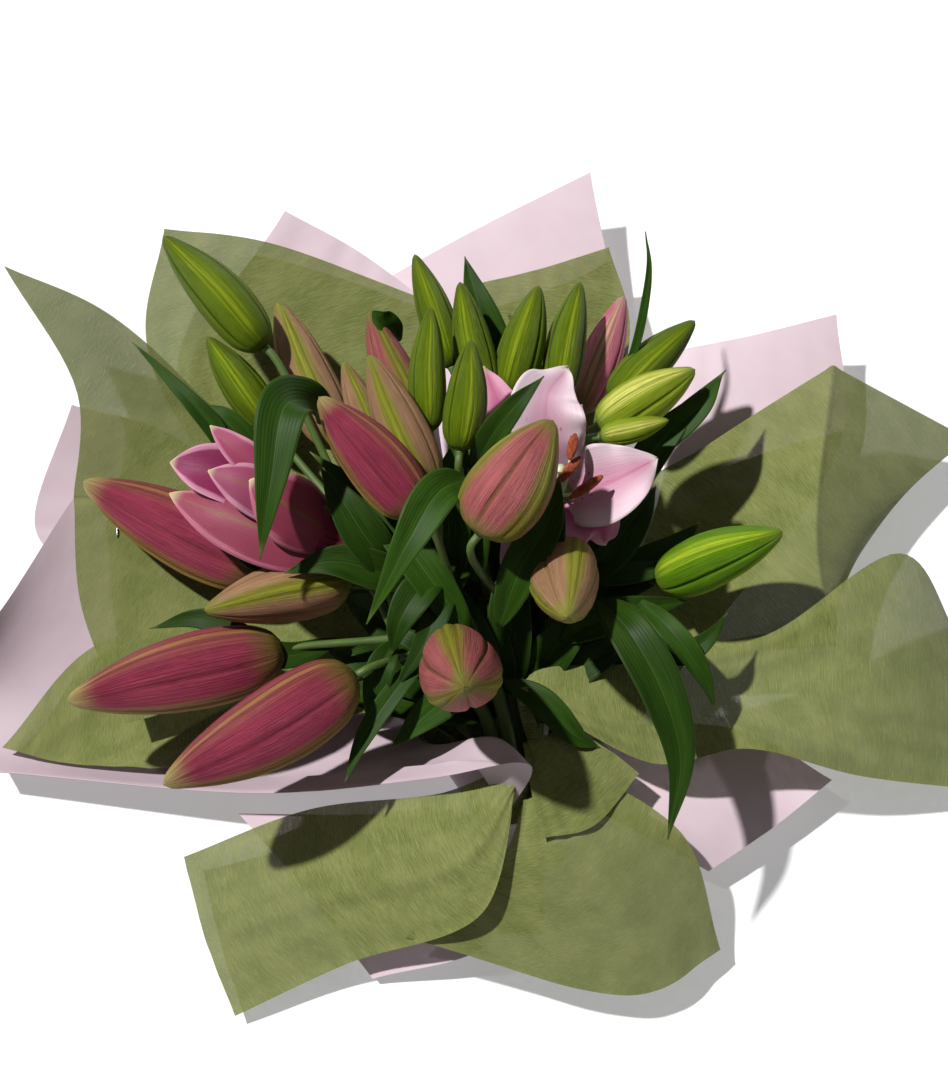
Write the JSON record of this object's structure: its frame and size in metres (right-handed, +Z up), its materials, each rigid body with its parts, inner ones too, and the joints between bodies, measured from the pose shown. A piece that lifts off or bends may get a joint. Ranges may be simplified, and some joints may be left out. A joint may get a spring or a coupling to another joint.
{
  "type": "wrapped lily bouquet",
  "caption": "Bunch of cut lilies lying on its back, buds and two opening flowers with leaves, gathered by a tie inside folded green and pink wrap.",
  "frame": {"origin": "on the surface that the bunch lies on, under the middle of its outline", "axes": "+Y from the cut stem ends towards the heads, +X to the right seen from above with the heads away, +Z up"},
  "size_m": [0.5582, 0.4692, 0.1856],
  "materials": {
    "anther_rust": "powdery matt",
    "bud_blush": "satin, waxy",
    "bud_green": "satin, waxy",
    "bud_lime": "satin, waxy",
    "bud_rose": "satin, waxy",
    "leaf_green": "satin",
    "paper_pink": "smooth matt",
    "staple_steel": "bright",
    "stem_green": "satin",
    "tepal_deep": "soft matt",
    "tepal_pale": "soft matt",
    "tie_twine": "matt",
    "wrap_green": "fibrous, slightly see-through"
  },
  "bodies": {
    "root": {"bud_blush_back": "bud_blush", "bud_blush_left": "bud_blush", "bud_blush_small": "bud_blush", "bud_blush_tall": "bud_blush", "bud_facing": "bud_blush", "bud_green_back_right": "bud_green", "bud_green_far_left": "bud_green", "bud_green_fifth": "bud_green", "bud_green_first": "bud_green", "bud_green_fourth": "bud_green", "bud_green_front": "bud_green", "bud_green_low_left": "bud_green", "bud_green_second": "bud_green", "bud_green_third": "bud_green", "bud_lime": "bud_lime", "bud_lime_right": "bud_lime", "bud_lime_small": "bud_lime", "bud_nodding": "bud_blush", "bud_rose_behind": "bud_rose", "bud_rose_centre": "bud_rose", "bud_rose_far": "bud_rose", "bud_rose_front": "bud_blush", "bud_rose_left": "bud_rose", "bud_rose_long": "bud_rose", "bud_rose_lowest": "bud_rose", "flower_open": "tepal_pale", "flower_open_stamens": "anther_rust", "flower_opening": "tepal_deep", "leaf_behind_front_bud": "leaf_green", "leaf_centre": "leaf_green", "leaf_dark": "leaf_green", "leaf_drooping_left": "leaf_green", "leaf_drooping_right": "leaf_green", "leaf_far_right": "leaf_green", "leaf_upright": "leaf_green", "paper_pink_back_left": "paper_pink", "paper_pink_back_middle": "paper_pink", "paper_pink_back_right": "paper_pink", "paper_pink_far_left": "paper_pink", "paper_pink_front": "paper_pink", "paper_pink_front_right": "paper_pink", "paper_pink_left": "paper_pink", "staple": "staple_steel", "stem_far_left": "stem_green", "stem_far_right": "stem_green", "stem_inner_left": "stem_green", "stem_inner_right": "stem_green", "stem_left": "stem_green", "stem_middle": "stem_green", "stem_right": "stem_green", "tie": "tie_twine", "wrap_green_back_left": "wrap_green", "wrap_green_back_right": "wrap_green", "wrap_green_front_left": "wrap_green", "wrap_green_front_middle": "wrap_green", "wrap_green_front_right": "wrap_green", "wrap_green_left": "wrap_green", "wrap_green_left_low": "wrap_green", "wrap_green_right_high": "wrap_green", "wrap_green_right_low": "wrap_green"}
  },
  "joints": []
}
